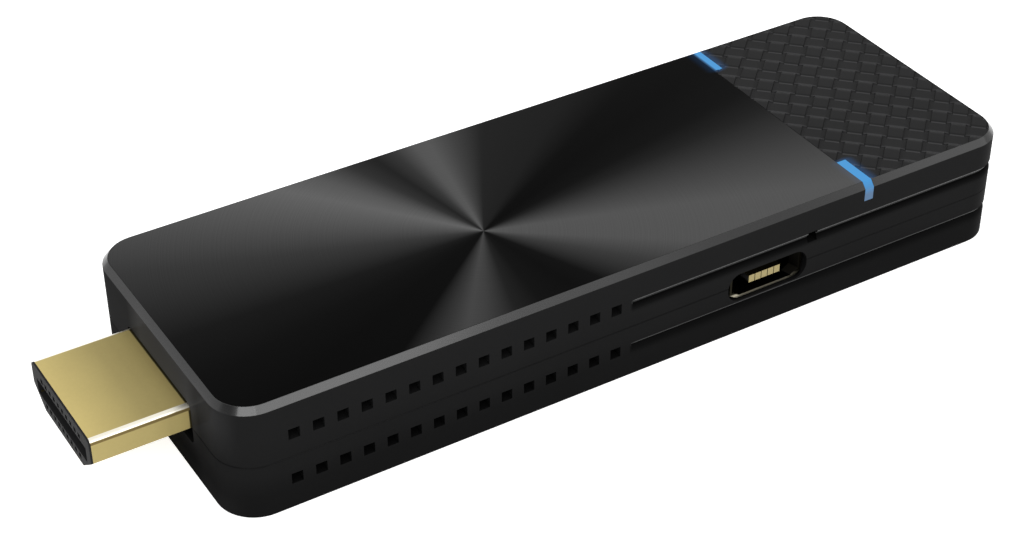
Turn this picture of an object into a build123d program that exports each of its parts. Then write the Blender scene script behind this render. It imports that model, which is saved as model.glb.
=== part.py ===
from build123d import *
import os
from math import atan, degrees

# A wireless display dongle: a stick-shaped housing with a display plug on one end. Millimetres.
# The origin is on the underside, halfway along the whole length. The plug points along -X, the power
# port and the reset hole face -Y, and +Z is up.

os.makedirs("parts", exist_ok=True)

# Housing
body_length = 89.9
body_width = 30.9
body_height = 12.65
corner_radius = 4.0
wall = 1.4
floor = 1.4
roof = 1.1
bevel_in = 0.55
bevel_down = 0.64
foot_chamfer = 0.1

# Seam between the two covers
seam_height = 5.97
seam_chamfer = 0.05
lip_thickness = 0.6
lip_height = 0.9
moulding_gap = 0.1
snap_length = 5.0
snap_reach = 0.2
snap_height = 0.35

# Square side vents, counted along the body from the plug end
vent_size = 1.16
vent_pitch = 2.463
vent_count = 15
vent_first = 6.36
vent_height_upper = 8.6
vent_height_lower = 3.415

# Scooped grooves round the rear: a rounded lip over a recess that slopes back to the wall
groove_first = 42.67
groove_top_upper = 9.13
groove_top_lower = 3.945
groove_height = 1.1
groove_depth = 0.3

# Top plate, rear inlay and the tapes that hold them
plate_thickness = 0.6
tape_thickness = 0.1
tape_margin = 0.6
rim_land = 0.04
plate_gap = 0.03

# Light guides
guide_first = 70.8
guide_width = 1.05
guide_reach = 4.73
guide_foot = 10.61
guide_thickness = 1.0
guide_leg_inset = 2.15
guide_leg_thickness = 1.2
light_gap = 0.3

# Circuit board
board_thickness = 1.0
board_top = 6.5
board_gap = 0.6
board_corner = 2.2
boss_diameter = 4.0
screw_diameter = 1.6
screw_clearance = 0.05
screw_head_diameter = 3.0
screw_head_height = 0.8
screw_length = 4.6
screw_first = 13.0
screw_inset = 5.35
screw_last = 77.5
rest_width = 1.2
hold_down_diameter = 2.2
hold_down_inset = 3.75
hold_down_clearance = 1.05

# Display plug, wide side up
plug_reach = 9.8
plug_width = 13.9
plug_height = 4.45
plug_side = 2.6
plug_narrow = 9.16
plug_top = 8.53
plug_skin = 0.3
plug_fold = 0.6
plug_corner = 0.2
plug_inside = 6.6
plug_opening_gap = 0.18
plug_opening_corner = 0.8
plug_flange = 0.2
plug_slot_width = 11.8
plug_slot_height = 1.7
plug_slot_depth = 9.0
plug_slot_drop = 0.06
plug_row_offset = 1.32
plug_upper_count = 10
plug_lower_count = 9
plug_window = 0.52
plug_window_wall = 0.6
plug_contact_pitch = 1.0
plug_contact_width = 0.4
plug_contact_thickness = 0.2
plug_contact_setback = 0.4
plug_contact_tip = 0.8
plug_contact_ramp = 1.8
plug_tail = 1.2
plug_tail_rise = 0.3
plug_tab_reach = 1.6
plug_tab_length = 2.0

# Power port
port_middle = 59.06
port_height = 5.72
port_opening_width = 9.7
port_opening_height = 3.3
port_opening_corner = 1.5
port_depth = 0.35
port_mouth_width = 8.3
port_mouth_height = 2.6
port_throat_width = 7.1
port_throat_height = 2.0
port_flare = 0.9
port_skin = 0.25
port_length = 5.2
port_bevel = 0.9
port_rise = 0.55
port_tongue_width = 3.9
port_tongue_thickness = 0.55
port_tongue_setback = 0.25
port_base = 1.0
port_contact_count = 5
port_contact_pitch = 0.78
port_contact_width = 0.7
port_contact_thickness = 0.15
port_contact_return = 2.0
port_tab_reach = 1.1
port_tab_length = 1.2
port_pocket = 0.3
port_board_gap = 0.4

# Reset switch
reset_middle = 64.42
reset_height = 8.62
reset_hole = 1.16
reset_travel = 0.25
plunger_size = 1.0
plunger_in_hole = 0.2
plunger_flange = 1.7
plunger_flange_thickness = 0.3
plunger_gap = 0.06
switch_width = 2.9
switch_depth = 1.9
switch_cover_thickness = 0.2
switch_setback = 0.35

# Chips and other parts on the board: length along X, width along Y, height
processor_size = (13.0, 13.0, 1.1)
memory_size = (8.0, 10.0, 1.0)
flash_size = (8.0, 6.0, 0.8)
power_chip_size = (4.0, 4.0, 0.9)
inductor_size = (4.0, 4.0, 1.9)
wifi_chip_size = (7.0, 7.0, 0.9)
crystal_size = (3.2, 2.5, 0.7)
capacitor_size = (1.0, 0.5, 0.5)
light_size = (0.8, 1.4, 0.6)
inductor_side = 6.4
capacitor_columns = 4
capacitor_rows = 3
shield_size = (15.0, 14.0, 1.8)
shield_skin = 0.2
processor_from_front = 27.0
memory_from_front = 42.0
memory_side = 5.6
shield_from_front = 66.0
antenna_size = (4.5, 7.5, 2.8)
antenna_from_front = 83.0
antenna_inset = 9.35
antenna_skin = 0.3
antenna_leg = 0.8
pad_size = (12.0, 12.0, 0.8)
spreader_length = 32.0
spreader_width = 18.0
spreader_base = 1.0
spreader_fin = 0.8
spreader_fin_count = 7
spreader_shift = 5.3
spreader_roof_gap = 0.3

# Places that follow from the sizes above
overall_length = body_length + plug_reach
x_tip = -overall_length / 2
x_front = x_tip + plug_reach
x_rear = x_front + body_length
body_middle = (x_front + x_rear) / 2
side = body_width / 2
plate_bottom = body_height - plate_thickness
recess_floor = plate_bottom - tape_thickness
ceiling = recess_floor - roof
rim_inset = bevel_in + rim_land
board_bottom = board_top - board_thickness
guide_x = x_front + guide_first
guide_inner = side - guide_reach
guide_leg_outer = side - guide_leg_inset
guide_leg_inner = guide_leg_outer - guide_leg_thickness
plug_middle = plug_top - plug_height / 2
plug_slot_middle = plug_middle - plug_slot_drop
plug_end = x_front + wall + plug_inside
board_middle = board_top - board_thickness / 2
port_x = x_front + port_middle
reset_x = x_front + reset_middle
screw_places = [
    (x_front + screw_first, screw_inset - side),
    (x_front + screw_first, side - screw_inset),
    (x_front + screw_last, 0),
]
hold_down_room = hold_down_diameter / 2 + hold_down_clearance
hold_down_first = x_front + screw_first + boss_diameter / 2 + hold_down_room
hold_down_middle = port_x - port_mouth_width / 2 - port_skin - hold_down_room
hold_down_last = x_rear - wall - board_gap - hold_down_room
vent_middle = x_front + vent_first + vent_pitch * (vent_count - 1) / 2


def save(part, name):
    """Labels a finished sub-part and writes its STEP file."""
    part.label = name
    export_step(part, f"parts/{name}.step")


def body_outline(height, inset=0.0):
    """The housing's plan outline at a height, drawn inset from its side walls."""
    with BuildSketch(Plane.XY.offset(height)) as outline:
        with Locations((body_middle, 0)):
            RectangleRounded(
                body_length - 2 * inset, body_width - 2 * inset, corner_radius - inset
            )
    return outline.sketch


def plate_outline(height, inset, front):
    """The recess outline in front of the light guides, or behind them with room for both guides."""
    with BuildSketch(Plane.XY.offset(height)) as outline:
        with Locations((body_middle, 0)):
            width = body_width - 2 * rim_inset - 2 * inset
            length = body_length - 2 * rim_inset - 2 * inset
            RectangleRounded(length, width, corner_radius - rim_inset - inset)
        if front:
            with Locations((guide_x - inset, 0)):
                Rectangle(
                    body_length, body_width, align=(Align.MIN, Align.CENTER), mode=Mode.SUBTRACT
                )
        else:
            with Locations((guide_x + inset, 0)):
                Rectangle(
                    body_length, body_width, align=(Align.MAX, Align.CENTER), mode=Mode.SUBTRACT
                )
            for sign in (-1, 1):
                with Locations((guide_x + guide_width + inset, sign * (side + guide_inner - inset) / 2)):
                    Rectangle(
                        body_length,
                        side - guide_inner + inset,
                        align=(Align.MAX, Align.CENTER),
                        mode=Mode.SUBTRACT,
                    )
    return outline.sketch


def vents(height):
    """The square holes of one vent row, as prisms right through both side walls."""
    with BuildPart() as prisms:
        with BuildSketch(Plane.XZ):
            with Locations((vent_middle, height)):
                with GridLocations(vent_pitch, 0, vent_count, 1):
                    Rectangle(vent_size, vent_size)
        extrude(amount=body_width, both=True)
        with BuildSketch(Plane.XZ):
            with Locations((vent_middle, height)):
                Rectangle(vent_pitch * vent_count, 2 * vent_size)
        extrude(amount=side - 2 * wall, both=True, mode=Mode.SUBTRACT)
    return prisms.part


def groove(top):
    """One scooped groove: its section swept along one side, round the rear and back along the other."""
    start = x_front + groove_first
    turn_x = x_rear - corner_radius
    turn_y = side - corner_radius
    with BuildPart() as scoop:
        with BuildLine(Plane.XY.offset(top)):
            near = Line((start, -side), (turn_x, -side))
            corner = RadiusArc(near @ 1, (x_rear, -turn_y), -corner_radius)
            rear = Line(corner @ 1, (x_rear, turn_y))
            corner = RadiusArc(rear @ 1, (turn_x, side), -corner_radius)
            Line(corner @ 1, (start, side))
        with BuildSketch(Plane(origin=(start, -side, top), x_dir=(0, 1, 0), z_dir=(1, 0, 0))):
            with BuildLine():
                lip = RadiusArc((0, 0), (groove_depth, -groove_depth), -groove_depth)
                Line(lip @ 1, (0, -groove_height))
                Line((0, -groove_height), (-groove_depth, -groove_height))
                Line((-groove_depth, -groove_height), (-groove_depth, 0))
                Line((-groove_depth, 0), (0, 0))
            make_face()
        sweep()
    return scoop.part


def plug_opening():
    """The hole in the front wall that the plug passes through, wider than its tapered lower corners."""
    with BuildPart() as hole:
        with BuildSketch(Plane.YZ.offset(x_front - wall)):
            with Locations((0, plug_middle)):
                RectangleRounded(
                    plug_width + 2 * plug_opening_gap,
                    plug_height + 2 * plug_opening_gap,
                    plug_opening_corner,
                )
        extrude(amount=3 * wall)
    return hole.part


def port_opening():
    """The hole in the side wall for the power port, squared behind the skin to clear its mouth."""
    with BuildPart() as hole:
        with BuildSketch(Plane.XZ.offset(side + wall)):
            with Locations((port_x, port_height)):
                RectangleRounded(port_opening_width, port_opening_height, port_opening_corner)
        extrude(amount=-3 * wall)
        with BuildSketch(Plane.XZ.offset(side - port_pocket)):
            with Locations((port_x, port_height)):
                pocket_grow = 2 * (port_skin + moulding_gap)
                Rectangle(port_mouth_width + pocket_grow, port_mouth_height + pocket_grow)
        extrude(amount=-2 * wall)
    return hole.part


def guide_section(plane):
    """A light guide's section across the body: top bar, bevel, short side leg and long inner leg."""
    leg_foot = board_top + light_size[2] + light_gap
    bar_bottom = body_height - guide_thickness
    with BuildSketch(plane) as section:
        Polygon(
            (guide_inner, body_height),
            (side - bevel_in, body_height),
            (side, body_height - bevel_down),
            (side, guide_foot),
            (side - guide_thickness, guide_foot),
            (side - guide_thickness, bar_bottom),
            (guide_leg_outer, bar_bottom),
            (guide_leg_outer, leg_foot),
            (guide_leg_inner, leg_foot),
            (guide_leg_inner, bar_bottom),
            (guide_inner, bar_bottom),
            align=None,
        )
    return section.sketch


def on_board(size, places, top=True):
    """Boxes standing on the board's top, or hanging from its underside, one at each place."""
    with BuildPart() as boxes:
        height = board_top if top else board_bottom
        with BuildSketch(Plane.XY.offset(height)):
            with Locations(*places):
                Rectangle(size[0], size[1])
        extrude(amount=size[2] if top else -size[2])
    return boxes.part


# Upper cover: roof, upper walls, recess for the plates, vents, groove and openings
with BuildPart() as upper_cover:
    extrude(body_outline(seam_height), amount=body_height - bevel_down - seam_height)
    chamfer(upper_cover.faces().sort_by(Axis.Z)[0].edges(), seam_chamfer)
    extrude(
        body_outline(body_height - bevel_down),
        amount=bevel_down,
        taper=degrees(atan(bevel_in / bevel_down)),
    )
    extrude(body_outline(seam_height, wall), amount=ceiling - seam_height, mode=Mode.SUBTRACT)
    extrude(
        body_outline(seam_height, wall - lip_thickness - moulding_gap),
        amount=lip_height + moulding_gap,
        mode=Mode.SUBTRACT,
    )
    extrude(body_outline(recess_floor, rim_inset), amount=body_height, mode=Mode.SUBTRACT)
    with BuildSketch(Plane.XY.offset(ceiling)):
        with Locations((hold_down_first, 0), (hold_down_middle, 0), (hold_down_last, 0)):
            with GridLocations(0, 2 * (side - hold_down_inset), 1, 2):
                Circle(hold_down_diameter / 2)
    extrude(amount=board_top + moulding_gap - ceiling)
    for sign in (-1, 1):
        with BuildSketch(Plane.XY.offset(seam_height + lip_height / 2)):
            with Locations((body_middle, sign * (side - wall + lip_thickness))):
                with GridLocations(body_length / 3, 0, 3, 1):
                    Rectangle(snap_length + 2 * moulding_gap, 2 * (snap_reach + moulding_gap))
        extrude(amount=snap_height / 2 + moulding_gap, both=True, mode=Mode.SUBTRACT)
    add(vents(vent_height_upper), mode=Mode.SUBTRACT)
    add(groove(groove_top_upper), mode=Mode.SUBTRACT)
    add(plug_opening(), mode=Mode.SUBTRACT)
    add(port_opening(), mode=Mode.SUBTRACT)
    with BuildSketch(Plane.XZ.offset(side + wall)):
        with Locations((reset_x, reset_height)):
            Rectangle(reset_hole, reset_hole)
    extrude(amount=-3 * wall, mode=Mode.SUBTRACT)
    guide_slot = extrude(
        guide_section(Plane.YZ.offset(guide_x - plate_gap)),
        amount=guide_width + 2 * plate_gap,
        mode=Mode.SUBTRACT,
    )
    mirror(guide_slot, about=Plane.XZ, mode=Mode.SUBTRACT)
save(upper_cover.part, "upper_cover")

# Lower cover: floor, lower walls, the lip inside the upper cover, board rests and screw bosses
with BuildPart() as lower_cover:
    extrude(body_outline(0), amount=seam_height)
    chamfer(lower_cover.faces().sort_by(Axis.Z)[-1].edges(), seam_chamfer)
    chamfer(lower_cover.faces().sort_by(Axis.Z)[0].edges(), foot_chamfer)
    extrude(body_outline(seam_height, wall - lip_thickness), amount=lip_height)
    extrude(body_outline(floor, wall), amount=body_height, mode=Mode.SUBTRACT)
    for sign in (-1, 1):
        with BuildSketch(Plane.XY.offset(seam_height + lip_height / 2)):
            with Locations((body_middle, sign * (side - wall + lip_thickness))):
                with GridLocations(body_length / 3, 0, 3, 1):
                    Rectangle(snap_length, 2 * snap_reach)
        extrude(amount=snap_height / 2, both=True)
    with BuildSketch(Plane.XY.offset(floor)):
        with Locations(*screw_places):
            Circle(boss_diameter / 2)
    extrude(amount=board_bottom - floor)
    for sign in (-1, 1):
        with BuildSketch(Plane.XY.offset(floor)):
            with Locations((body_middle, sign * (side - wall - rest_width / 2))):
                with GridLocations(body_length / 5, 0, 5, 1):
                    Rectangle(rest_width, rest_width)
        extrude(amount=board_bottom - floor)
    with BuildSketch(Plane.XY.offset(board_bottom)):
        with Locations(*screw_places):
            Circle(screw_diameter / 2 + screw_clearance)
    extrude(amount=-screw_length, mode=Mode.SUBTRACT)
    add(vents(vent_height_lower), mode=Mode.SUBTRACT)
    add(groove(groove_top_lower), mode=Mode.SUBTRACT)
    add(plug_opening(), mode=Mode.SUBTRACT)
    add(port_opening(), mode=Mode.SUBTRACT)
save(lower_cover.part, "lower_cover")

# Plates let into the top, each on its own tape
with BuildPart() as top_plate:
    extrude(plate_outline(plate_bottom, plate_gap, True), amount=plate_thickness)
save(top_plate.part, "top_plate")

with BuildPart() as rear_inlay:
    extrude(plate_outline(plate_bottom, plate_gap, False), amount=plate_thickness)
save(rear_inlay.part, "rear_inlay")

with BuildPart() as plate_adhesive:
    extrude(plate_outline(recess_floor, tape_margin, True), amount=tape_thickness)
save(plate_adhesive.part, "plate_adhesive")

with BuildPart() as inlay_adhesive:
    extrude(plate_outline(recess_floor, tape_margin, False), amount=tape_thickness)
save(inlay_adhesive.part, "inlay_adhesive")

# Light guides, one for each edge
with BuildPart() as light_guide_far:
    extrude(guide_section(Plane.YZ.offset(guide_x)), amount=guide_width)
save(light_guide_far.part, "light_guide_far")

with BuildPart() as light_guide_near:
    mirror(light_guide_far.part, about=Plane.XZ)
save(light_guide_near.part, "light_guide_near")

# Circuit board, notched for the plug and the power port
port_notch = port_throat_width / 2 + port_skin + moulding_gap
with BuildPart() as main_board:
    with BuildSketch(Plane.XY.offset(board_bottom)):
        with Locations((body_middle, 0)):
            RectangleRounded(
                body_length - 2 * wall - 2 * board_gap,
                body_width - 2 * wall - 2 * board_gap,
                board_corner,
            )
        with Locations((x_front, 0)):
            Rectangle(
                2 * (plug_end - x_front + moulding_gap),
                plug_width + 2 * moulding_gap,
                mode=Mode.SUBTRACT,
            )
        with Locations((plug_end + moulding_gap, 0)):
            Rectangle(
                plug_tail + moulding_gap,
                plug_slot_width,
                align=(Align.MAX, Align.CENTER),
            )
        with Locations((port_x, -side)):
            Rectangle(
                2 * port_notch,
                2 * (port_depth + port_length + port_board_gap),
                mode=Mode.SUBTRACT,
            )
        with Locations(*screw_places):
            Circle(screw_diameter / 2 + moulding_gap, mode=Mode.SUBTRACT)
    extrude(amount=board_thickness)
save(main_board.part, "main_board")

with BuildPart() as board_screws:
    with BuildSketch(Plane.XY.offset(board_top)):
        with Locations(*screw_places):
            Circle(screw_head_diameter / 2)
    extrude(amount=screw_head_height)
    with BuildSketch(Plane.XY.offset(board_top)):
        with Locations(*screw_places):
            Circle(screw_diameter / 2)
    extrude(amount=-screw_length)
save(board_screws.part, "board_screws")

# Chips, and the parts that feed them
processor_x = x_front + processor_from_front
memory_x = x_front + memory_from_front
shield_x = x_front + shield_from_front
save(on_board(processor_size, [(processor_x, 0)]), "system_processor")
save(on_board(memory_size, [(memory_x, -memory_side), (memory_x, memory_side)]), "memory_chips")
save(on_board(flash_size, [(memory_x, 0)], top=False), "flash_chip")
save(on_board(power_chip_size, [(port_x, 0)], top=False), "power_chip")
inductor_places = [(port_x, -inductor_side), (port_x, inductor_side)]
save(on_board(inductor_size, inductor_places, top=False), "power_inductors")
save(on_board(wifi_chip_size, [(shield_x, 0)]), "wifi_chip")
crystal_places = [
    (processor_x + (processor_size[0] + crystal_size[0]) / 2, 0),
    (memory_x + memory_size[0], 0),
]
save(on_board(crystal_size, crystal_places, top=False), "crystals")

with BuildPart() as capacitors:
    with BuildSketch(Plane.XY.offset(board_bottom)):
        with Locations((processor_x, 0)):
            column_pitch = processor_size[0] / capacitor_columns
            row_pitch = processor_size[1] / capacitor_rows
            with GridLocations(column_pitch, row_pitch, capacitor_columns, capacitor_rows):
                Rectangle(capacitor_size[0], capacitor_size[1])
    extrude(amount=-capacitor_size[2])
save(capacitors.part, "capacitors")

guide_middle = guide_x + guide_width / 2
light_side = guide_leg_inner + guide_leg_thickness / 2
save(on_board(light_size, [(guide_middle, -light_side), (guide_middle, light_side)]), "status_leds")

# Shield can over the radio, open towards the board
with BuildPart() as wifi_shield:
    with BuildSketch(Plane.XY.offset(board_top)):
        with Locations((shield_x, 0)):
            RectangleRounded(shield_size[0], shield_size[1], 2 * shield_skin)
    extrude(amount=shield_size[2])
    offset(amount=-shield_skin, openings=wifi_shield.faces().sort_by(Axis.Z)[0])
save(wifi_shield.part, "wifi_shield")

# Stamped antennas: a flat arm on two legs
antenna_x = x_front + antenna_from_front
antenna_side = side - antenna_inset
antenna_deck = board_top + antenna_size[2]
with BuildPart() as antennas:
    for sign in (-1, 1):
        with BuildSketch(Plane.XY.offset(antenna_deck)):
            with Locations((antenna_x, sign * antenna_side)):
                Rectangle(antenna_size[0], antenna_size[1])
                with Locations((-antenna_size[0] / 4, 0)):
                    Rectangle(
                        antenna_size[0] / 2, antenna_size[1] / 2, mode=Mode.SUBTRACT
                    )
        extrude(amount=-antenna_skin)
        with BuildSketch(Plane.XY.offset(antenna_deck)):
            with Locations((antenna_x - antenna_size[0] / 2 + antenna_skin / 2, sign * antenna_side)):
                with GridLocations(0, antenna_size[1] - antenna_leg, 1, 2):
                    Rectangle(antenna_skin, antenna_leg)
        extrude(amount=-antenna_size[2])
save(antennas.part, "antennas")

# Soft pad and finned heat spreader over the processor
pad_bottom = board_top + processor_size[2]
spreader_bottom = pad_bottom + pad_size[2]
spreader_top = ceiling - spreader_roof_gap
with BuildPart() as thermal_pad:
    with BuildSketch(Plane.XY.offset(pad_bottom)):
        with Locations((processor_x, 0)):
            RectangleRounded(pad_size[0], pad_size[1], pad_size[2])
    extrude(amount=pad_size[2])
save(thermal_pad.part, "thermal_pad")

with BuildPart() as heat_spreader:
    with BuildSketch(Plane.XY.offset(spreader_bottom)):
        with Locations((processor_x + spreader_shift, 0)):
            Rectangle(spreader_length, spreader_width)
    extrude(amount=spreader_base)
    with BuildSketch(Plane.XY.offset(spreader_bottom + spreader_base)):
        with Locations((processor_x + spreader_shift, 0)):
            pitch = (spreader_width - spreader_fin) / (spreader_fin_count - 1)
            with GridLocations(0, pitch, 1, spreader_fin_count):
                Rectangle(spreader_length, spreader_fin)
    extrude(amount=spreader_top - spreader_bottom - spreader_base)
save(heat_spreader.part, "heat_spreader")


def plug_section(x, inset):
    """The plug's section across its length: a wide flat top, short sides and a narrower bottom."""
    with BuildSketch(Plane.YZ.offset(x)) as section:
        Polygon(
            (-plug_width / 2, plug_top),
            (plug_width / 2, plug_top),
            (plug_width / 2, plug_top - plug_side),
            (plug_narrow / 2, plug_top - plug_height),
            (-plug_narrow / 2, plug_top - plug_height),
            (-plug_width / 2, plug_top - plug_side),
            align=None,
        )
        if inset > 0:
            offset(amount=-inset, mode=Mode.REPLACE)
        fillet(section.vertices().sort_by(Axis.Y)[-2:], plug_fold - inset)
        if plug_corner > inset:
            fillet(section.vertices().sort_by(Axis.Y)[:4], plug_corner - inset)
    return section.sketch


# Display plug: stamped shell with two tabs that sit on the board
tab_x = plug_end - plug_tab_length / 2 - moulding_gap
shell_front = x_tip + plug_flange
with BuildPart() as hdmi_shell:
    extrude(plug_section(shell_front, 0), amount=plug_end - shell_front)
    for sign in (-1, 1):
        with BuildSketch(Plane.XY.offset(board_top)):
            with Locations((tab_x, sign * (plug_width / 2 + plug_tab_reach / 2))):
                Rectangle(plug_tab_length, plug_tab_reach + 2 * plug_skin)
        extrude(amount=plug_skin)
    extrude(plug_section(shell_front, plug_skin), amount=plug_end - shell_front, mode=Mode.SUBTRACT)
save(hdmi_shell.part, "hdmi_shell")


def plug_contact(up):
    """One contact: a sprung tip in the slot, a straight run in its channel and a tail on the board."""
    half = plug_contact_thickness / 2
    run = up * (plug_row_offset + plug_window / 2 - half)
    dip = up * (plug_slot_height / 2 + half - moulding_gap)
    tail = up * (board_thickness / 2 + half)
    front = x_tip + plug_window_wall + plug_contact_setback
    ramp = front + plug_contact_tip + plug_contact_ramp
    back = plug_end - plug_tail - moulding_gap
    with BuildPart() as contact:
        with BuildSketch(Plane.XZ):
            with BuildLine():
                Polyline(
                    (front, plug_slot_middle + dip + up * plug_contact_thickness),
                    (ramp - plug_contact_ramp, plug_slot_middle + dip),
                    (ramp, plug_slot_middle + run),
                    (back, plug_slot_middle + run),
                    (back + plug_tail_rise, board_middle + tail),
                    (plug_end - 2 * moulding_gap, board_middle + tail),
                )
            trace(line_width=plug_contact_thickness)
        extrude(amount=plug_contact_width / 2, both=True)
    return contact.part


# The plug's black moulding: a front flange that covers the shell's end, a long slot, and a window and
# channel for each contact
insulator_end = plug_end - plug_tail - moulding_gap
with BuildPart() as hdmi_insulator:
    extrude(plug_section(x_tip, 0), amount=plug_flange)
    extrude(plug_section(shell_front, plug_skin), amount=insulator_end - shell_front)
    with BuildSketch(Plane.YZ.offset(x_tip)):
        with Locations((0, plug_slot_middle)):
            Rectangle(plug_slot_width, plug_slot_height)
    extrude(amount=plug_slot_depth, mode=Mode.SUBTRACT)
    for up, count in ((1, plug_upper_count), (-1, plug_lower_count)):
        with BuildSketch(Plane.YZ.offset(x_tip)):
            with Locations((0, plug_slot_middle + up * plug_row_offset)):
                with GridLocations(plug_contact_pitch, 0, count, 1):
                    Rectangle(plug_window, plug_window)
        extrude(amount=insulator_end - x_tip, mode=Mode.SUBTRACT)
        with BuildSketch(Plane.YZ.offset(x_tip + plug_window_wall)):
            with Locations((0, plug_slot_middle + up * plug_row_offset / 2)):
                with GridLocations(plug_contact_pitch, 0, count, 1):
                    Rectangle(plug_window, plug_row_offset)
        extrude(
            amount=plug_contact_setback + plug_contact_tip + plug_contact_ramp,
            mode=Mode.SUBTRACT,
        )
save(hdmi_insulator.part, "hdmi_insulator")

with BuildPart() as hdmi_contacts:
    for up, count in ((1, plug_upper_count), (-1, plug_lower_count)):
        with GridLocations(0, plug_contact_pitch, 1, count):
            add(plug_contact(up))
save(hdmi_contacts.part, "hdmi_contacts")


def port_section(depth, width, height):
    """The power port's section at a depth behind the side wall's face, narrower at the bottom."""
    with BuildSketch(Plane.XZ.offset(side - depth)) as section:
        with Locations((port_x, port_height)):
            Polygon(
                (-width / 2, height / 2),
                (width / 2, height / 2),
                (width / 2, port_rise - height / 2),
                (width / 2 - port_bevel, -height / 2),
                (port_bevel - width / 2, -height / 2),
                (-width / 2, port_rise - height / 2),
                align=None,
            )
    return section.sketch


# Power port: a shell with a flared mouth, whose tabs sit on the board
port_neck = port_depth + port_flare
port_back = port_depth + port_length
with BuildPart() as usb_shell:
    for grow, mode in ((2 * port_skin, Mode.ADD), (0, Mode.SUBTRACT)):
        mouth = port_section(port_depth, port_mouth_width + grow, port_mouth_height + grow)
        throat = port_section(port_neck, port_throat_width + grow, port_throat_height + grow)
        loft([mouth, throat], mode=mode)
        extrude(throat, amount=port_neck - port_back, mode=mode)
    for sign in (-1, 1):
        tab_side = port_throat_width / 2 + port_skin / 2
        with BuildSketch(Plane.XY.offset(board_top)):
            with Locations((port_x + sign * tab_side, port_back - side - port_tab_length)):
                align = (Align.MIN if sign > 0 else Align.MAX, Align.CENTER)
                Rectangle(port_tab_reach, port_tab_length, align=align)
        extrude(amount=port_skin)
save(usb_shell.part, "usb_shell")


def port_contact_path(plane):
    """A contact strip's side view: round the tongue's tip, back through the base and down to the board."""
    half = port_contact_thickness / 2
    reach = port_tongue_thickness / 2 + half
    tip = port_depth + port_tongue_setback + half
    rear = port_back - side
    with BuildSketch(plane) as path:
        with BuildLine():
            Polyline(
                (tip + port_contact_return - side, port_height - reach),
                (tip - side, port_height - reach),
                (tip - side, port_height + reach),
                (rear + port_board_gap / 4, port_height + reach),
                (rear + port_board_gap / 2, board_top + half),
                (rear + 3 * port_board_gap, board_top + half),
            )
        trace(line_width=port_contact_thickness)
    return path.sketch


contact_step = GridLocations(port_contact_pitch, 0, port_contact_count, 1)
with BuildPart() as usb_contacts:
    for place in contact_step:
        strip = port_contact_path(Plane.YZ.offset(port_x + place.position.X))
        extrude(strip, amount=port_contact_width / 2, both=True)
save(usb_contacts.part, "usb_contacts")

with BuildPart() as usb_tongue:
    extrude(
        port_section(port_back - port_base, port_throat_width, port_throat_height),
        amount=-port_base,
    )
    with BuildSketch(Plane.XZ.offset(side - port_back)):
        with Locations((port_x, port_height)):
            Rectangle(port_tongue_width, port_tongue_thickness)
    extrude(amount=port_length - port_tongue_setback - port_contact_thickness)
    add(usb_contacts.part, mode=Mode.SUBTRACT)
save(usb_tongue.part, "usb_tongue")

# Reset switch: moulded base with a pocket, stamped cover with the plunger's hole, and the plunger
wall_inside = side - wall
switch_front = wall_inside - switch_setback
switch_back = switch_front - switch_depth
switch_height = 2 * (reset_height - board_top)
pocket = plunger_flange_thickness + reset_travel + plunger_gap
with BuildPart() as switch_base:
    with BuildSketch(Plane.XZ.offset(switch_back)):
        with Locations((reset_x, reset_height)):
            Rectangle(switch_width, switch_height)
    extrude(amount=switch_depth - switch_cover_thickness)
    with BuildSketch(Plane.XZ.offset(switch_front - switch_cover_thickness)):
        with Locations((reset_x, reset_height)):
            Rectangle(plunger_flange + 2 * plunger_gap, plunger_flange + 2 * plunger_gap)
    extrude(amount=-pocket, mode=Mode.SUBTRACT)
save(switch_base.part, "switch_base")

with BuildPart() as switch_cover:
    with BuildSketch(Plane.XZ.offset(switch_front - switch_cover_thickness)):
        with Locations((reset_x, reset_height)):
            Rectangle(switch_width, switch_height)
            hole = plunger_size + 2 * plunger_gap
            Rectangle(hole, hole, mode=Mode.SUBTRACT)
    extrude(amount=switch_cover_thickness)
save(switch_cover.part, "switch_cover")

with BuildPart() as reset_plunger:
    flange_front = switch_front - switch_cover_thickness
    with BuildSketch(Plane.XZ.offset(flange_front)):
        with Locations((reset_x, reset_height)):
            Rectangle(plunger_flange, plunger_flange)
    extrude(amount=-plunger_flange_thickness)
    with BuildSketch(Plane.XZ.offset(flange_front)):
        with Locations((reset_x, reset_height)):
            Rectangle(plunger_size, plunger_size)
    extrude(amount=wall_inside + plunger_in_hole - flange_front)
    tip = reset_plunger.faces().sort_by(Axis.Y)[0]
    chamfer(tip.edges(), plunger_gap * 2)
save(reset_plunger.part, "reset_plunger")
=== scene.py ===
from math import cos, radians, sin

import bmesh
import bpy
import numpy as np
from mathutils import Matrix, Vector


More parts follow.
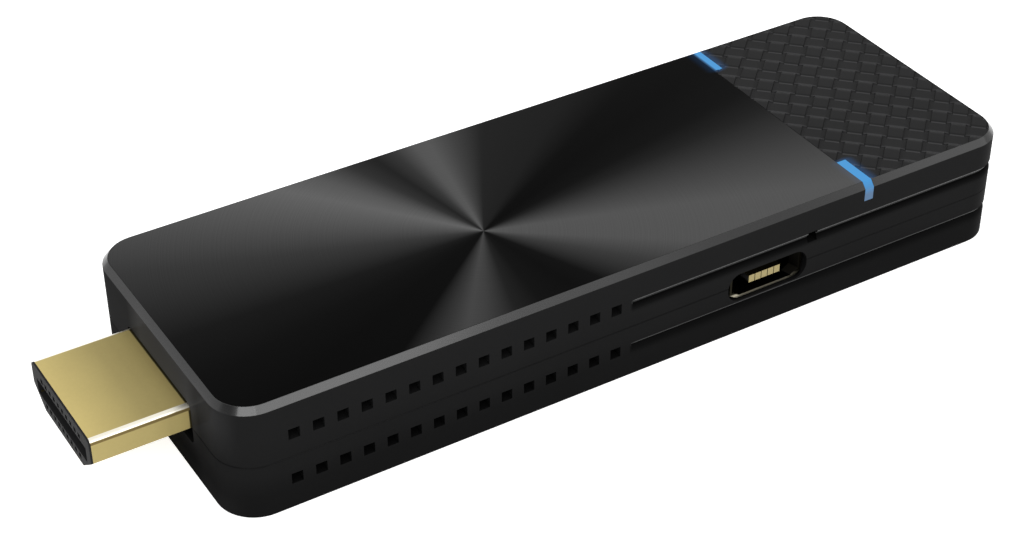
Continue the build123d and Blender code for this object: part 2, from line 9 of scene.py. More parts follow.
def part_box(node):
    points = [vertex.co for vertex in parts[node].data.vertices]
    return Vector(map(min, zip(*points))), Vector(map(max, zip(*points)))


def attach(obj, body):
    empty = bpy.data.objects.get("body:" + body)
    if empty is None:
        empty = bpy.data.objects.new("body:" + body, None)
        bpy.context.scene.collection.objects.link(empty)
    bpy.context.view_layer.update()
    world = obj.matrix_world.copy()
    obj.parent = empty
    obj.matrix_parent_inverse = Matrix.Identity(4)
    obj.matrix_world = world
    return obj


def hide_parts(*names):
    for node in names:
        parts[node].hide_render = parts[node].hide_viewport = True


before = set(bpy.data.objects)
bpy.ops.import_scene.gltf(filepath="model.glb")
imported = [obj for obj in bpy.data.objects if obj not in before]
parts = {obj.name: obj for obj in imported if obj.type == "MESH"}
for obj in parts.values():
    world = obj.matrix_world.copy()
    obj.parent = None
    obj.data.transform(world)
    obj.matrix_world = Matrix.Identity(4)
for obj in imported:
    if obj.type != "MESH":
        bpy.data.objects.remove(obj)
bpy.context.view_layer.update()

# Camera.
# It looks down on the plug end and the ported side from the photograph's place, through a long lens.
# Its place and its three angles were worked out from the housing's straight edges.
MM = 0.001
turn, tilt, roll = radians(-31.197), radians(35.88), radians(-0.257)
camera_place = Vector((-94.27, -153.11, 134.63)) * MM


def standing(place, across, up, back):
    """The matrix of a camera or lamp at a place, with its own three axes along these directions."""
    return Matrix.Translation(place) @ Matrix((across, up, back)).transposed().to_4x4()


to_camera = Vector((sin(turn) * cos(tilt), -cos(turn) * cos(tilt), sin(tilt)))
level = Vector((cos(turn), sin(turn), 0))
upright = to_camera.cross(level)
camera_right = cos(roll) * level + sin(roll) * upright
camera_up = cos(roll) * upright - sin(roll) * level
lens = bpy.data.cameras.new("camera")
lens.sensor_width = 36
lens.lens = 76.77
lens.clip_start = 0.01
lens.clip_end = 20
camera = bpy.data.objects.new("camera", lens)
camera.matrix_world = standing(camera_place, camera_right, camera_up, to_camera)
bpy.context.scene.collection.objects.link(camera)
bpy.context.scene.camera = camera
bpy.context.scene.view_settings.view_transform = "Standard"


# Studio floor and light.
# The dongle lies on a plain white floor, under a white surround and four soft lamps. The floor is a
# wide sheet that shows white to the camera and in reflections, and keeps the soft shadow.
def material(name):
    """A new node material: returns it, its node tree and its Principled shader."""
    made = bpy.data.materials.new(name)
    made.use_nodes = True
    return made, made.node_tree, made.node_tree.nodes["Principled BSDF"]


def fill(node, **sockets):
    """Fills or links a node's sockets, which go by name, or by number as _0, _1."""
    for key, value in sockets.items():
        socket = node.inputs[int(key[1:])] if key[0] == "_" else node.inputs[key.replace("_", " ")]
        if isinstance(value, bpy.types.NodeSocket):
            node.id_data.links.new(value, socket)
        else:
            socket.default_value = value


def put(tree, kind, **settings):
    """Adds a node. A setting is one of the node's properties, or else a socket as fill takes it."""
    node = tree.nodes.new(kind)
    sockets = {}
    for key, value in settings.items():
        if hasattr(node, key):
            setattr(node, key, value)
        else:
            sockets[key] = value
    fill(node, **sockets)
    return node


def maths(tree, operation, *values):
    """The result of one step of arithmetic on numbers or sockets."""
    sockets = {f"_{number}": value for number, value in enumerate(values)}
    return put(tree, "ShaderNodeMath", operation=operation, **sockets).outputs[0]


def ranged(tree, value, low, high, at_low=0.0, at_high=1.0, **how):
    """A value that goes from at_low to at_high while another goes from low to high, and holds beyond."""
    spread = put(
        tree, "ShaderNodeMapRange", Value=value,
        From_Min=low, From_Max=high, To_Min=at_low, To_Max=at_high, **how,
    )
    return spread.outputs[0]


def sheet_of(name, corners, faces):
    """A mesh object from points in metres and faces, standing at the origin."""
    mesh = bpy.data.meshes.new(name)
    mesh.from_pydata([tuple(c) for c in corners], [], [tuple(f) for f in faces])
    mesh.update()
    made = bpy.data.objects.new(name, mesh)
    bpy.context.scene.collection.objects.link(made)
    return made


floor_half = 3
floor_corners = [(x * floor_half, y * floor_half, 0) for x, y in ((-1, -1), (1, -1), (1, 1), (-1, 1))]
floor_lift = 0.72
floor = sheet_of("floor", floor_corners, [(0, 1, 2, 3)])
white, tree, shader = material("white_floor")
seen = put(tree, "ShaderNodeLightPath").outputs
direct = maths(tree, "MAXIMUM", seen["Is Camera Ray"], seen["Is Glossy Ray"])
shown = maths(tree, "MAXIMUM", direct, seen["Is Transmission Ray"])
fill(shader, Base_Color=(0.8, 0.8, 0.8, 1), Roughness=0.9, Specular_IOR_Level=0.0)
fill(shader, Emission_Color=(1, 1, 1, 1), Emission_Strength=maths(tree, "MULTIPLY", shown, floor_lift))
floor.data.materials.append(white)

# The surround is dimmer in one round patch, up beyond the plug end, and what mirrors it shows darker.
dim_patch, patch_edge, patch_core = (-0.84, -0.06, 0.54), cos(radians(20)), cos(radians(9))
open_strength, patch_strength = 0.95, 0.3
world = bpy.data.worlds.new("studio")
bpy.context.scene.world = world
world.use_nodes = True
tree = world.node_tree
looking = put(tree, "ShaderNodeTexCoord").outputs["Generated"]
nearness = put(tree, "ShaderNodeVectorMath", operation="DOT_PRODUCT", _0=looking, _1=dim_patch)
strength = ranged(tree, nearness.outputs["Value"], patch_edge, patch_core, open_strength, patch_strength)
fill(tree.nodes["Background"], Color=(1, 1, 1, 1), Strength=strength)

lamp_aim, lamp_distance = Vector((-35, -15, 12)) * MM, 0.6


def lamp(name, azimuth, elevation, width, height, radiance):
    """A soft lamp that faces the plug end from a direction in degrees, with its size in metres.

    Its power is its radiance times pi times its area.
    """
    light = bpy.data.lights.new(name, "AREA")
    light.shape = "RECTANGLE"
    light.size = width
    light.size_y = height
    light.energy = radiance * np.pi * width * height
    made = bpy.data.objects.new(name, light)
    turn, tilt = radians(azimuth), radians(elevation)
    away = Vector((cos(turn) * cos(tilt), sin(turn) * cos(tilt), sin(tilt)))
    across = Vector((0, 0, 1)).cross(away).normalized()
    made.matrix_world = standing(lamp_aim + away * lamp_distance, across, away.cross(across), away)
    bpy.context.scene.collection.objects.link(made)


lamp("lamp_left", azimuth=237, elevation=41, width=0.41, height=0.13, radiance=4.7)
lamp("lamp_middle", azimuth=279.8, elevation=39, width=0.314, height=0.13, radiance=3.4)
lamp("lamp_right", azimuth=304.5, elevation=36, width=0.085, height=0.13, radiance=0.7)
lamp("lamp_rear", azimuth=329, elevation=26, width=0.23, height=0.2, radiance=0.9)


# Grain, glow and smooth shading, shared by most finishes.
# Every finish but the spun plate's has two shades and a fine grain, sized in millimetres. Parts near
# the light guides catch a little of their blue light, and only sharp edges are shaded as edges.
def new_group(name, inputs, outputs, kind="ShaderNodeTree"):
    """A node group with the sockets named, and the node that gives its inputs."""
    group = bpy.data.node_groups.new(name, kind)
    for way, sockets in (("INPUT", inputs), ("OUTPUT", outputs)):
        for label, socket in sockets:
            group.interface.new_socket(label, in_out=way, socket_type="NodeSocket" + socket)
    return group, put(group, "NodeGroupInput")


def mixed(tree, share, one, other):
    """A colour that goes from one to the other as the share goes from 0 to 1."""
    return put(tree, "ShaderNodeMix", data_type="RGBA", _0=share, _6=one, _7=other).outputs[2]


def shaded(tree, colour, factor):
    """A colour times a factor."""
    return put(tree, "ShaderNodeVectorMath", operation="SCALE", _0=colour, Scale=factor).outputs[0]


def axes(tree):
    """The x, y and z of the point that is shaded, in metres."""
    place = put(tree, "ShaderNodeTexCoord").outputs["Object"]
    return put(tree, "ShaderNodeSeparateXYZ", Vector=place).outputs


def inside(finish):
    """A finish's node tree and its Principled shader."""
    return finish.node_tree, finish.node_tree.nodes["Principled BSDF"]


# A fine noise of the finish's own size and a broad one together set the share of the lighter shade.
fine_weight, broad_scale = 0.5, 120.0
grain, given = new_group(
    "fine_grain",
    [("Size mm", "Float"), ("Dark", "Color"), ("Light", "Color")],
    [("Color", "Color"), ("Height", "Float")],
)
place = put(grain, "ShaderNodeTexCoord").outputs["Object"]
fine_scale = maths(grain, "DIVIDE", 1 / MM, given.outputs["Size mm"])
fine = put(grain, "ShaderNodeTexNoise", Vector=place, Scale=fine_scale, Detail=2.0).outputs[0]
broad = put(grain, "ShaderNodeTexNoise", Vector=place, Scale=broad_scale, Detail=3.0).outputs[0]
share = ranged(grain, maths(grain, "MULTIPLY_ADD", fine, fine_weight, broad), 0.45, 1.05)
speckled = mixed(grain, share, given.outputs["Dark"], given.outputs["Light"])
put(grain, "NodeGroupOutput", Color=speckled, Height=fine)

# The glow is full within 0.4 mm of a guide's line and gone at 1.8 mm, or sooner on the inward side.
guide_x, guide_y = 31.28 * MM, 10.9 * MM
full_glow, last_glow, inward_steepness = 0.4 * MM, 1.8 * MM, 2.2
glow_blue = (0.006, 0.04, 0.11)
glow, given = new_group("guide_glow", [("Strength", "Float")], [("Color", "Color")])
x, y, _ = axes(glow)
along = maths(glow, "SUBTRACT", x, guide_x)
inward = maths(glow, "MAXIMUM", maths(glow, "SUBTRACT", guide_y, maths(glow, "ABSOLUTE", y)), 0.0)
offset = put(glow, "ShaderNodeCombineXYZ", X=along, Y=maths(glow, "MULTIPLY", inward, inward_steepness))
away = put(glow, "ShaderNodeVectorMath", operation="LENGTH", _0=offset.outputs[0])
fade = ranged(
    glow, away.outputs["Value"], full_glow, last_glow, 1.0, 0.0, interpolation_type="SMOOTHERSTEP"
)
amount = maths(glow, "MULTIPLY", fade, given.outputs["Strength"])
put(glow, "NodeGroupOutput", Color=shaded(glow, glow_blue, amount))


def grained(name, dark, light, size_mm, roughness, bump_mm, **constant):
    """A finish with fine grain: two shades of one colour, a bump in millimetres and plain constants."""
    made, tree, shader = material(name)
    look = put(
        tree, "ShaderNodeGroup", node_tree=grain, Size_mm=size_mm, Dark=(*dark, 1), Light=(*light, 1)
    )
    bump = put(tree, "ShaderNodeBump", Distance=bump_mm * MM, Height=look.outputs["Height"])
    fill(shader, Base_Color=look.outputs["Color"], Normal=bump.outputs[0], Roughness=roughness)
    fill(shader, **constant)
    return made


def lit_by_guides(finish, strength):
    """Lets a finish catch the light guides' blue light."""
    tree, shader = inside(finish)
    light = put(tree, "ShaderNodeGroup", node_tree=glow, Strength=strength)
    fill(shader, Emission_Color=light.outputs[0], Emission_Strength=1.0)


def own_colour(shader):
    """The socket that colours a shader so far."""
    return shader.inputs["Base Color"].links[0].from_socket


def set_stops(ramp, stops):
    """Gives a colour ramp its greys, as (position, grey) pairs, and returns the ramp's colour."""
    elements = ramp.color_ramp.elements
    while len(elements) < len(stops):
        elements.new(0.5)
    for element, (position, grey) in zip(elements, stops):
        element.position = position
        element.color = (grey, grey, grey, 1)
    return ramp.outputs[0]


def band(tree, value, steps):
    """A soft mask along one value: it follows (millimetres, share) pairs, joined by straight lines."""
    first, last = steps[0][0], steps[-1][0]
    ramp = put(tree, "ShaderNodeValToRGB", Fac=ranged(tree, value, first * MM, last * MM))
    return set_stops(ramp, [((at - first) / (last - first), share) for at, share in steps])


weld, sharpest = 0.001 * MM, radians(24)
rounding, bare = new_group(
    "rounded_shading", [("Geometry", "Geometry")], [("Geometry", "Geometry")], "GeometryNodeTree"
)
joined = put(rounding, "GeometryNodeMergeByDistance", Geometry=bare.outputs[0], Distance=weld)
smooth = put(rounding, "GeometryNodeSetShadeSmooth", domain="FACE", Geometry=joined.outputs[0])
angle = put(rounding, "GeometryNodeInputMeshEdgeAngle").outputs[0]
sharp = put(
    rounding, "FunctionNodeCompare", data_type="FLOAT", operation="GREATER_THAN", _0=angle, _1=sharpest
)
edged = put(
    rounding, "GeometryNodeSetShadeSmooth", domain="EDGE",
    Geometry=smooth.outputs[0], Selection=sharp.outputs[0], Shade_Smooth=False,
)
put(rounding, "NodeGroupOutput", Geometry=edged.outputs[0])


def dress(finish, *names):
    """Gives CAD parts a finish and smooth shading."""
    for name in names:
        part = parts[name]
        part.data.materials.clear()
        part.data.materials.append(finish)
        part.modifiers.new("rounding", "NODES").node_group = rounding


# Housing.
# Two black moulded covers that meet at a fine seam. Their walls are matt, with a very fine grain.
# The bevel round the top and the lips of the two grooves are polished, so that they shine.
def times(tree, one, other):
    """Two values multiplied."""
    return maths(tree, "MULTIPLY", one, other)


def between(tree, share, one, other):
    """A value that goes from one to the other as the share goes from 0 to 1."""
    return put(tree, "ShaderNodeMix", data_type="FLOAT", _0=share, _2=one, _3=other).outputs[0]


housing_top, past_side, plug_end, past_rear = 12.65, 15.5, -40.06, 60
groove_start, bevel_foot, painted_end_gain = 2.4, 12.0, 6.0
black = grained(
    "black_moulding", dark=(0.0118, 0.0118, 0.012), light=(0.0138, 0.0138, 0.014),
    size_mm=0.12, roughness=0.4, bump_mm=0.0008, Specular_IOR_Level=0.0, Coat_Roughness=0.16,
)
tree, shader = inside(black)
x, y, z = axes(tree)

# Painted shade: the walls are darker towards the floor and in the grooves, darkest under their lips.
# They are also darker along the seam near half height.
height = band(tree, z, [
    (0, 0.32), (2.4, 0.33), (3.5, 0.42), (4.7, 0.55), (5.82, 0.57), (5.88, 0.43), (6.06, 0.43),
    (6.12, 0.58), (7.2, 0.63), (9.2, 0.69), (11.9, 0.71), (housing_top, 0.71),
])
under = band(tree, z, [
    (2.4, 0), (2.8, 0.2), (3.1, 0.46), (3.5, 0.6), (3.9, 0.62), (3.95, 0), (7.6, 0), (7.85, 0.18),
    (8.05, 0.45), (8.3, 0.66), (8.6, 0.82), (9.1, 0.8), (9.14, 0), (housing_top, 0),
])
grooved = band(tree, x, [(groove_start, 0), (2.7, 1), (past_rear, 1)])
groove_shade_factor = maths(tree, "SUBTRACT", 1.0, times(tree, under, grooved))

# Painted light and reflection: the wall at the plug end is painted lighter, by height, in line with the
# plug and on either side.
front = band(tree, x, [(plug_end, 1), (-39.7, 0.6), (-38.8, 0), (50, 0)])
painted_light_over_plug = band(tree, z, [
    (0, 0.38), (1, 0.37), (2, 0.27), (3.5, 0.28), (4.5, 0.33), (8.4, 0.97), (9.3, 0.97),
    (10, 0.91), (11.2, 0.8), (11.95, 0.78), (12.05, 0.4), (housing_top, 0.35),
])
painted_light_near_side = band(tree, z, [
    (0, 0.6), (1, 0.56), (2, 0.43), (4, 0.28), (6, 0.21), (8, 0.35), (9.3, 0.45),
    (10, 0.52), (11.2, 0.56), (12, 0.5), (housing_top, 0.35),
])
painted_light_far_side = band(tree, z, [
    (0, 0.26), (4, 0.27), (6, 0.34), (8, 0.29), (10, 0.26), (11.2, 0.23), (12, 0.22),
])
is_near = band(tree, y, [(-past_side, 1), (-8.8, 1), (-6.9, 0), (past_side, 0)])
is_far = band(tree, y, [(-past_side, 0), (3.8, 0), (6.6, 1), (past_side, 1)])
painted_end_light = between(tree, is_far, between(tree, is_near, painted_light_over_plug, painted_light_near_side), painted_light_far_side)
painted_end_factor = between(tree, front, 1.0, times(tree, painted_end_light, painted_end_gain))
painted_wall_tone = times(tree, times(tree, height, groove_shade_factor), painted_end_factor)
fill(shader, Base_Color=shaded(tree, own_colour(shader), painted_wall_tone))

# The polish is a clear coat: whole on the bevel, strong on the grooves' lips and faint on the walls.
lips = band(tree, z, [
    (3.56, 0), (3.62, 0.55), (3.94, 0.55), (3.96, 0),
    (8.64, 0), (8.76, 1), (9.12, 1), (9.14, 0), (housing_top, 0),
])
straight = band(tree, x, [(groove_start, 0), (3.0, 1), (46.2, 1), (47.2, 0), (past_rear, 0)])
bevel = band(tree, z, [(bevel_foot, 0), (12.03, 1), (housing_top, 1)])
front_sheen = band(tree, z, [(0, 0), (3, 0.006), (7, 0.03), (12, 0.03)])
sheen = times(tree, between(tree, front, 0.075, front_sheen), groove_shade_factor)
walls_and_bevel = maths(tree, "MAXIMUM", sheen, bevel)
fill(shader, Coat_Weight=maths(tree, "MAXIMUM", times(tree, lips, straight), walls_and_bevel))
dress(black, "upper_cover", "lower_cover")

# Display plug.
# A shell folded from sheet and plated with satin gold, with painted highlights on its folds, over a
# black moulding that closes its end and carries two rows of gold contacts in windows on either side of a
# long slot.
fold_y, fold_z = 6.35 * MM, 7.93 * MM
painted_fold_highlight, painted_crease_shade, painted_inner_shade = (0.97, 0.93, 0.8, 1), (0.19, 0.14, 0.055, 1), 0.12
satin, fold_polish = 0.6, 0.33
gold = grained(
    "satin_gold", dark=(0.60, 0.495, 0.21), light=(0.65, 0.54, 0.23),
    size_mm=0.3, roughness=satin, bump_mm=0.0003, Metallic=1.0,
)
tree, shader = inside(gold)
x, y, z = axes(tree)
sideways = maths(tree, "ABSOLUTE", y)

# Round the upper folds the angle from upright goes to a quarter turn, which band reads as 1 mm.
bend = maths(
    tree, "ARCTAN2", maths(tree, "SUBTRACT", sideways, fold_y), maths(tree, "SUBTRACT", z, fold_z)
)
quarters = times(tree, bend, MM * 2 / np.pi)
# A painted highlight lies along each fold, where the gold is also smoother, and a painted shade along
# the crease below it.
polish_and_highlight = band(tree, quarters, [(0, 0), (0.04, 0), (0.09, 1), (0.6, 1), (0.66, 0), (1, 0)])
painted_crease = band(tree, quarters, [(0, 0), (0.6, 0), (0.68, 1), (0.9, 1), (0.98, 0), (1, 0)])

# Painted light and shade: the top and the sides are toned along the plug, with a painted dark line of
# shade at the root.
# Inside the shell the gold is painted in shade.
painted_top_light = band(tree, x, [
    (-49.85, 1.08), (-47, 0.9), (-44, 0.7), (-42.5, 0.7), (-41.5, 0.78),
    (-40.24, 0.92), (-40.16, 0.08), (-40, 0.08),
])
painted_side_light = band(tree, x, [
    (-49.85, 0.65), (-45, 0.64), (-42, 0.7), (-40.2, 0.96), (-40.14, 0.08), (-40, 0.08),
])
high = band(tree, z, [(4, 0), (7.9, 0), (8.2, 1), (9, 1)])
between_sides = band(tree, sideways, [(0, 1), (6.7, 1), (6.78, 0), (8, 0)])
under_roof = band(tree, z, [(4, 0), (4.25, 0), (4.3, 1), (8.3, 1), (8.36, 0), (9, 0)])
painted_shade_inside = ranged(tree, times(tree, between_sides, under_roof), 0, 1, 1.0, painted_inner_shade)
painted_plug_light = times(tree, between(tree, high, painted_side_light, painted_top_light), painted_shade_inside)
plain = shaded(tree, own_colour(shader), painted_plug_light)
folded = mixed(tree, painted_crease, mixed(tree, polish_and_highlight, plain, painted_fold_highlight), painted_crease_shade)
fill(shader, Base_Color=folded, Roughness=ranged(tree, polish_and_highlight, 0, 1, satin, fold_polish))
dress(gold, "hdmi_shell")
moulding = grained(
    "black_insulator", dark=(0.017, 0.017, 0.0175), light=(0.023, 0.023, 0.0235),
    size_mm=0.08, roughness=0.5, bump_mm=0.001, Specular_IOR_Level=0.02,
)
dress(moulding, "hdmi_insulator", "usb_tongue", "switch_base", "reset_plunger")
contact_gold = grained(
    "contact_gold", dark=(0.28, 0.23, 0.11), light=(0.31, 0.26, 0.125),
    size_mm=0.1, roughness=0.3, bump_mm=0.0004, Metallic=1.0,
)
dress(contact_gold, "usb_contacts", "antennas")
# The contacts inside the slot are a darker copy of the contact gold: painted shade.
contacts_in_painted_shade = grained(
    "contacts_painted_shade", dark=(0.09, 0.07, 0.03), light=(0.12, 0.09, 0.04),
    size_mm=0.1, roughness=0.4, bump_mm=0.0004, Metallic=1.0, Specular_Tint=(0.2, 0.2, 0.2, 1),
)
dress(contacts_in_painted_shade, "hdmi_contacts")

# Power port.
# A pressed metal shell with a flared mouth, painted near black for the shade inside the port, with a
# painted highlight along its cut front edge, round a black base with a thin tongue that carries five
# gold contacts.
ported_side, painted_edge_colour = 15.45 * MM, (0.42, 0.39, 0.3, 1)
# The shell is painted near black, a painted shade for the inside of the port.
port_metal = grained(
    "port_shell", dark=(0.0022, 0.002, 0.0016), light=(0.0038, 0.0035, 0.0028),
    size_mm=0.2, roughness=0.35, bump_mm=0.0005, Metallic=1.0, Specular_Tint=(0.12, 0.12, 0.12, 1),
)
tree, shader = inside(port_metal)
x, y, z = axes(tree)
# Painted highlight: the lower cut edge of the mouth is painted pale, fading along the port.
mouth = band(tree, maths(tree, "ADD", y, ported_side), [(0.3, 1), (0.38, 1), (0.44, 0), (1.0, 0)])
lower = band(tree, z, [(4.0, 1), (4.55, 1), (4.75, 0.04), (8.0, 0.04)])
across = band(tree, x, [(14, 1), (15.6, 1), (16.3, 0.55), (21.6, 0.35), (22.3, 0.1), (24, 0.1)])
painted_edge_highlight = times(tree, times(tree, mouth, lower), across)
fill(shader, Base_Color=mixed(tree, painted_edge_highlight, own_colour(shader), painted_edge_colour))
dress(port_metal, "usb_shell")

# Circuit board and what it carries.
# A green board with black packages, tinned shields, small ceramic parts, screws and a finned spreader.
# The soft pad lies on the processor, and black tape holds the top plate and the inlay.
board_green = grained(
    "solder_mask", dark=(0.006, 0.04, 0.02), light=(0.01, 0.06, 0.03),
    size_mm=0.4, roughness=0.35, bump_mm=0.002, Specular_IOR_Level=0.4,
)
package = grained(
    "chip_package", dark=(0.02, 0.02, 0.021), light=(0.028, 0.028, 0.029),
    size_mm=0.06, roughness=0.55, bump_mm=0.003, Specular_IOR_Level=0.3,
)
tinned = grained(
    "tinned_sheet", dark=(0.55, 0.55, 0.53), light=(0.68, 0.68, 0.66),
    size_mm=0.3, roughness=0.32, bump_mm=0.001, Metallic=1.0,
)
fired = grained(
    "fired_ceramic", dark=(0.36, 0.25, 0.16), light=(0.48, 0.35, 0.24),
    size_mm=0.1, roughness=0.5, bump_mm=0.001, Specular_IOR_Level=0.4,
)
soft = grained(
    "soft_pad", dark=(0.3, 0.36, 0.45), light=(0.36, 0.43, 0.52),
    size_mm=0.3, roughness=0.8, bump_mm=0.004, Specular_IOR_Level=0.2,
)
tape = grained(
    "black_tape", dark=(0.01, 0.01, 0.01), light=(0.015, 0.015, 0.015),
    size_mm=0.2, roughness=0.7, bump_mm=0.002, Specular_IOR_Level=0.1,
)
dress(board_green, "main_board")
dress(package, "system_processor", "memory_chips", "flash_chip", "power_chip")
dress(package, "wifi_chip", "power_inductors")
dress(tinned, "wifi_shield", "crystals", "board_screws", "switch_cover", "heat_spreader")
dress(fired, "capacitors")
dress(soft, "thermal_pad")
dress(tape, "plate_adhesive", "inlay_adhesive")

# Light guides.
# Clear blue mouldings over two small lamps on the board. They glow where they reach the surface, a
# little paler where they turn down the side. The far guide is dark on its side towards the plate.
side_blue, top_blue = (0.1, 0.155, 0.23, 1), (0.06, 0.278, 0.58, 1)
side_from, top_from = 11.3 * MM, 12.55 * MM
blue = grained(
    "lit_guide", dark=(0.005, 0.03, 0.08), light=(0.006, 0.035, 0.09),
    size_mm=0.3, roughness=0.4, bump_mm=0.0005, Specular_IOR_Level=0.1,
)
tree, shader = inside(blue)
x, y, z = axes(tree)
shine = mixed(tree, ranged(tree, z, side_from, top_from), side_blue, top_blue)
far = band(tree, y, [(-0.5, 0), (0.5, 1)])
beside_plate = band(tree, x, [(30.7, 0.97), (30.85, 0.95), (31.0, 0.45), (31.1, 0), (32, 0)])
open_share = maths(tree, "SUBTRACT", 1.0, times(tree, far, beside_plate))
fill(shader, Emission_Color=shaded(tree, shine, open_share), Emission_Strength=1.0)
dress(blue, "light_guide_near", "light_guide_far", "status_leds")

# Top plate.
# A thin metal plate, turned in fine circles about one point and stained black. The fans of light that
# the turning throws are painted into its colour, bright and dark by direction from the centre.
to_centre = (6.16 * MM, 2.29 * MM, 0)
screen_white, screen_gamma, mirrored_light = 255, 2.2, 0.88
rings_per_metre, darkest_ring, lightest_ring = 9000.0, 0.93, 1.07
spun, tree, shader = material("spun_plate")
place = put(tree, "ShaderNodeTexCoord").outputs["Object"]
centred = put(tree, "ShaderNodeVectorMath", operation="ADD", _0=place, _1=to_centre).outputs[0]
around = put(tree, "ShaderNodeTexGradient", gradient_type="RADIAL", Vector=centred)
painted_fan_ramp = put(tree, "ShaderNodeValToRGB", Fac=around.outputs[1])

# Each direction in degrees has a painted shade as a screen shows it, which is turned into a reflectance.
painted_fan_shades = [
    (-180, 28), (-168, 20), (-156, 16), (-142, 16), (-132, 55), (-126, 69), (-120, 63), (-108, 35),
    (-96, 22), (-78, 17), (-66, 21), (-48, 59), (-36, 81), (-18, 83), (-6, 64), (0, 51), (6, 34),
    (12, 19), (22, 12), (30, 14), (40, 32), (60, 36), (70, 64), (79, 85), (84, 83), (92, 54),
    (100, 35), (109, 50), (120, 85), (129, 97), (160, 56), (180, 28),
]
painted_fans = set_stops(painted_fan_ramp, [
    ((angle + 180) / 360, (shade / screen_white) ** screen_gamma / mirrored_light)
    for angle, shade in painted_fan_shades
])
flat = put(tree, "ShaderNodeVectorMath", operation="MULTIPLY", _0=centred, _1=(1, 1, 0))
radius = put(tree, "ShaderNodeVectorMath", operation="LENGTH", _0=flat.outputs[0])
rings = put(
    tree, "ShaderNodeTexNoise", noise_dimensions="1D",
    W=radius.outputs["Value"], Scale=rings_per_metre, Detail=2.0,
)
ring_tone = ranged(tree, rings.outputs[0], 0.3, 0.7, darkest_ring, lightest_ring)
plate_with_painted_fans = shaded(tree, painted_fans, ring_tone)
fill(shader, Base_Color=plate_with_painted_fans, Metallic=1.0, Specular_Tint=(0.62, 0.62, 0.62, 1), Roughness=0.3)
lit_by_guides(spun, strength=0.3)
dress(spun, "top_plate")

# Rear inlay.
# A dark satin moulding with a basket weave of flat strips in relief, let in behind the light guides.
# Strips 1.62 mm wide cross at 45 degrees every 2.08 mm, and each one passes over and under in turn.
pitch, strip = 2.079, 1.62
gap = pitch - strip
weave_x, weave_y = 31.835, 8.247
hole_depth, end_depth, edge_depth, edge_width = 0.13, 0.09, 0.035, 0.06
level_half, end_length, end_power = 0.7, 0.57, 1.4
low, high = (np.array(corner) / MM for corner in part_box("rear_inlay"))


def weave_depth(a, b):
    """Depth in millimetres below the strips' tops at a place (a, b) along the two strip directions.

    A strip that lies over its neighbour is level, has edges rounded over 0.06 mm, and sinks by 0.09 mm
    towards each end, where it passes under the next. The square holes between strips are 0.13 mm deep.
    """
    small = 1e-6
    cell_a, cell_b = np.floor(a / pitch + small), np.floor(b / pitch + small)
    in_a, in_b = a - cell_a * pitch, b - cell_b * pitch
    on_a, on_b = (in_a < small) | (in_a > gap - small), (in_b < small) | (in_b > gap - small)
    cell_a, in_a = np.where(in_a < small, cell_a - 1, cell_a), np.where(in_a < small, pitch, in_a)
    cell_b, in_b = np.where(in_b < small, cell_b - 1, cell_b), np.where(in_b < small, pitch, in_b)
    odd = (cell_a + cell_b) % 2 > 0.5
    depth = np.full(np.broadcast(a, b).shape, hole_depth)
    for lengthwise, crosswise, over in ((in_a, in_b, odd), (in_b, in_a, ~odd)):
        onto, across_on = (on_b, on_a) if lengthwise is in_a else (on_a, on_b)
        shift = np.where(over, 0.0, np.where(lengthwise < gap + small, pitch, -pitch))
        off = np.abs(lengthwise + shift - (pitch + gap) / 2)
        sunk = end_depth * np.clip((off - level_half) / end_length, 0, 1) ** end_power
        edge = np.minimum(crosswise - gap, pitch - crosswise)
        rounded = edge_depth * (1 - np.clip(edge / edge_width, 0, 1))
        shows = onto & (over | ~across_on)
        depth = np.where(shows, sunk + rounded, depth)
    return depth


# The grid's lines lie close at the strips' edges and ends, and it is turned by 45 degrees.
marks = np.array([0, 0.03, 0.23, gap - 0.03, gap, gap + edge_width, 0.9, 1.64, pitch - edge_width])
strips_each_way, margin = 14, 1
lines = (np.arange(-strips_each_way, strips_each_way)[:, None] * pitch + marks).ravel()
a, b = np.meshgrid(lines, lines, indexing="ij")
root = np.sqrt(0.5)
points = np.stack([weave_x + (a + b) * root, weave_y + (b - a) * root, high[2] - weave_depth(a, b)], -1)
count = len(lines)
index = np.arange(count * count).reshape(count, count)
quads = np.stack([index[:-1, :-1], index[1:, :-1], index[1:, 1:], index[:-1, 1:]], -1).reshape(-1, 4)
middle = points[:, :, :2].reshape(-1, 2)[quads].mean(1)
within_length = (middle[:, 0] > low[0] - margin) & (middle[:, 0] < high[0] + margin)
within_width = np.abs(middle[:, 1]) < high[1] + margin
used, quads = np.unique(quads[within_length & within_width], return_inverse=True)
inlay = sheet_of("woven_inlay", points.reshape(-1, 3)[used] * MM, quads.reshape(-1, 4))
cut = bmesh.new()
cut.from_mesh(inlay.data)


def trim(through, outward, discard=True):
    """Cuts the inlay by an upright plane through a place in millimetres, and drops what lies outside."""
    everything = cut.verts[:] + cut.edges[:] + cut.faces[:]
    bmesh.ops.bisect_plane(
        cut, geom=everything, dist=1e-8, plane_co=(through[0] * MM, through[1] * MM, 0),
        plane_no=(outward[0], outward[1], 0), clear_outer=discard,
    )


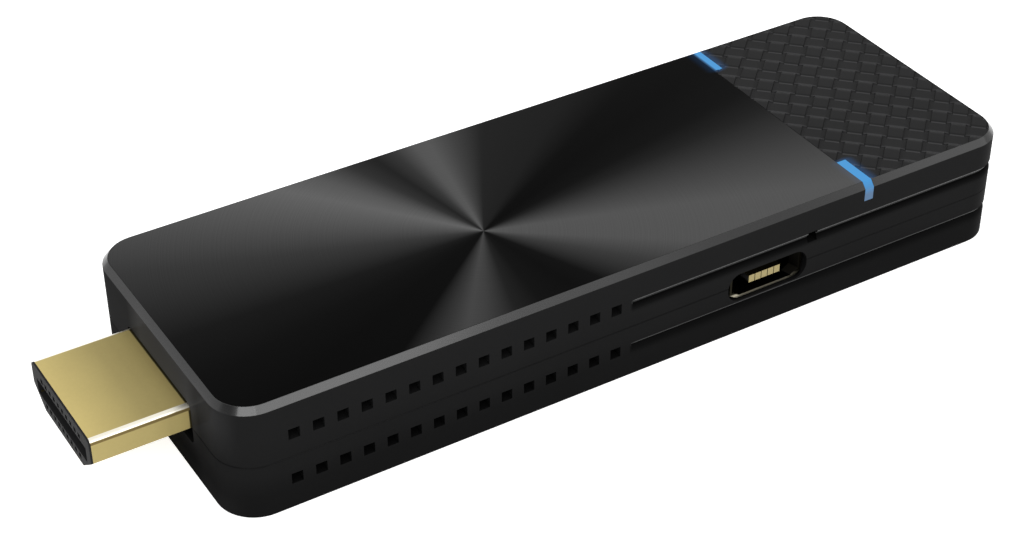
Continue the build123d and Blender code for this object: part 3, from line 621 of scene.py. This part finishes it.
# It is trimmed to its straight sides, to its two rounded corners in steps of 10 degrees, and round
# the two notches that leave room for the light guides. Then its rim is carried down and closed.
corner, notch_x, notch_y = 3.38, 31.83, 10.69
trim((low[0], 0), (-1, 0))
trim((high[0], 0), (1, 0))
for side in (-1, 1):
    trim((0, side * high[1]), (0, side))
    for bearing in np.radians(np.arange(5, 90, 10)):
        outward = (cos(bearing), side * sin(bearing))
        centre = (high[0] - corner, side * (high[1] - corner))
        trim((centre[0] + corner * outward[0], centre[1] + corner * outward[1]), outward)
    trim((0, side * notch_y), (0, side), discard=False)
trim((notch_x, 0), (1, 0), discard=False)


def in_notch(face):
    """True for a face in a notch: on the plug's side of notch_x and further out than notch_y."""
    centre = face.calc_center_median()
    return centre.x < notch_x * MM and abs(centre.y) > notch_y * MM


bmesh.ops.delete(cut, geom=[face for face in cut.faces if in_notch(face)], context="FACES")
rim = [edge for edge in cut.edges if edge.is_boundary]
skirt = bmesh.ops.extrude_edge_only(cut, edges=rim)["geom"]
for vertex in [item for item in skirt if isinstance(item, bmesh.types.BMVert)]:
    vertex.co.z = low[2] * MM
foot = [item for item in skirt if isinstance(item, bmesh.types.BMEdge)]
bmesh.ops.contextual_create(cut, geom=foot)
bmesh.ops.recalc_face_normals(cut, faces=cut.faces)


def order_of(face):
    """A face's rank by place, which gives every run the same order of faces."""
    return face.calc_center_median().dot(Vector((1, 0.618, 0.382)))


cut.faces.sort(key=order_of)
cut.to_mesh(inlay.data)
cut.free()

# Painted light and shade: slopes across one strip direction are painted lighter, and those across the
# other darker.
painted_light_gain, painted_shade_gain = 3.4, 0.35
woven = grained(
    "woven_moulding", dark=(0.0114, 0.0114, 0.0117), light=(0.0138, 0.0138, 0.0141),
    size_mm=0.1, roughness=0.4, bump_mm=0.001, Specular_IOR_Level=0.05,
)
tree, shader = inside(woven)
facing = put(tree, "ShaderNodeTexCoord").outputs["Normal"]


def slope(direction):
    """How far a face leans along a direction in the inlay's plane, from 0 to 1."""
    leaning = put(tree, "ShaderNodeVectorMath", operation="DOT_PRODUCT", _0=facing, _1=direction)
    return maths(tree, "ABSOLUTE", leaning.outputs["Value"])


painted_slope_light = ranged(tree, slope((root, root, 0)), 0.16, 0.19, 1.0, painted_light_gain)
painted_slope_shade = ranged(tree, slope((root, -root, 0)), 0.08, 0.4, 1.0, painted_shade_gain)
fill(shader, Base_Color=shaded(tree, own_colour(shader), times(tree, painted_slope_light, painted_slope_shade)))
lit_by_guides(woven, strength=0.9)
inlay.data.materials.append(woven)
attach(inlay, "housing")
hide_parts("rear_inlay")
